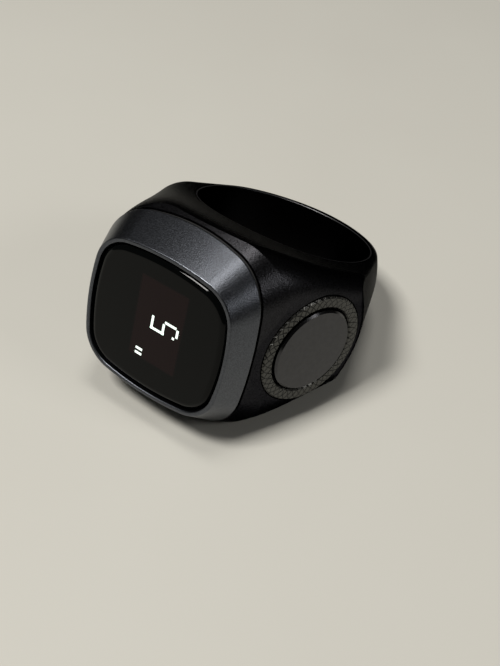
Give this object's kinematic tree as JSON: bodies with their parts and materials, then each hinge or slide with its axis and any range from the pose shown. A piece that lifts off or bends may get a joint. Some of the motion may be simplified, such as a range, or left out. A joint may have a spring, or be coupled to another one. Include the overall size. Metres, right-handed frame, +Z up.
{
  "type": "digital tasbih counter",
  "caption": "Signet-shaped finger ring that counts prayers: bowed square display in a tapered bezel, press button on one shoulder, narrow band",
  "frame": {"origin": "centre of the finger bore", "axes": "+Z up from the table that the ring lies on, -Y the way the display faces seen from above, +X towards the shoulder with the button; the bore axis leans back from +Z towards +Y by 13.40 degrees"},
  "size_m": [0.0282, 0.0344, 0.0203],
  "materials": {
    "satin_black_shell": "anodised satin black with a fine sparkle",
    "black_liner": "anodised black, smooth",
    "gunmetal_bezel": "bead-blasted gunmetal",
    "black_rubber": "matte",
    "cover_glass": "tinted black, polished",
    "display_panel": "black, smooth",
    "black_plastic": "moulded",
    "ribbon": "amber film",
    "ivory_plastic": "moulded",
    "green_board": "solder mask",
    "steel": "bright",
    "chip_black": "moulded",
    "ceramic": "fired ceramic",
    "foil": "pouch foil",
    "gold_contact": "gold plated",
    "polished_button": "dark polished",
    "patterned_trim": "fine crossing-arc pattern",
    "weight_metal": "sintered heavy alloy"
  },
  "bodies": {
    "ring": {"body_shell": "satin_black_shell", "inner_sleeve": "black_liner", "bezel_frame": "gunmetal_bezel", "bezel_gasket": "black_rubber", "cover_glass": "cover_glass", "glass_gasket": "black_rubber", "oled_panel": "display_panel", "display_carrier": "black_plastic", "display_flex": "ribbon", "flex_connector": "ivory_plastic", "main_board": "green_board", "board_screws": "steel", "controller_chip": "chip_black", "charger_chip": "chip_black", "crystal": "steel", "chip_antenna": "ceramic", "board_capacitors": "ceramic", "battery_cell": "foil", "battery_tape": "black_plastic", "battery_tabs": "steel", "charge_contacts": "gold_contact", "contact_seals": "black_rubber", "contact_flex": "ribbon", "button_trim_ring": "patterned_trim", "switch_board": "green_board", "switch_base": "black_plastic", "switch_cover": "steel", "switch_dome": "steel", "switch_flex": "ribbon", "motor_can": "steel", "motor_base": "green_board", "motor_shaft": "steel", "motor_flex": "ribbon"},
    "button": {"button_cap": "polished_button", "button_seal": "black_rubber", "button_clip": "steel"},
    "plunger": {"switch_plunger": "ivory_plastic"},
    "rotor": {"motor_rotor": "weight_metal"}
  },
  "joints": [
    {"name": "button_press", "type": "slide", "parent": "ring", "child": "button", "axis": [-0.9478, 0.3103, -0.0739], "range_m": [0, 0.0003], "stiffness_N_per_m": 800, "springref_m": -0.0005},
    {"name": "switch_press", "type": "slide", "parent": "ring", "child": "plunger", "axis": [-0.9478, 0.3103, -0.0739], "range_m": [0, 0.0003], "deforming": ["switch_dome"]},
    {"name": "motor_spin", "type": "hinge", "parent": "ring", "child": "rotor", "pos_m": [-0.00871, -0.01005, 0.00239], "axis": [-0.9478, -0.3103, 0.0739], "continuous": true}
  ],
  "couplings": [
    {"joint": "switch_press", "follows": "button_press", "ratio": 1}
  ]
}
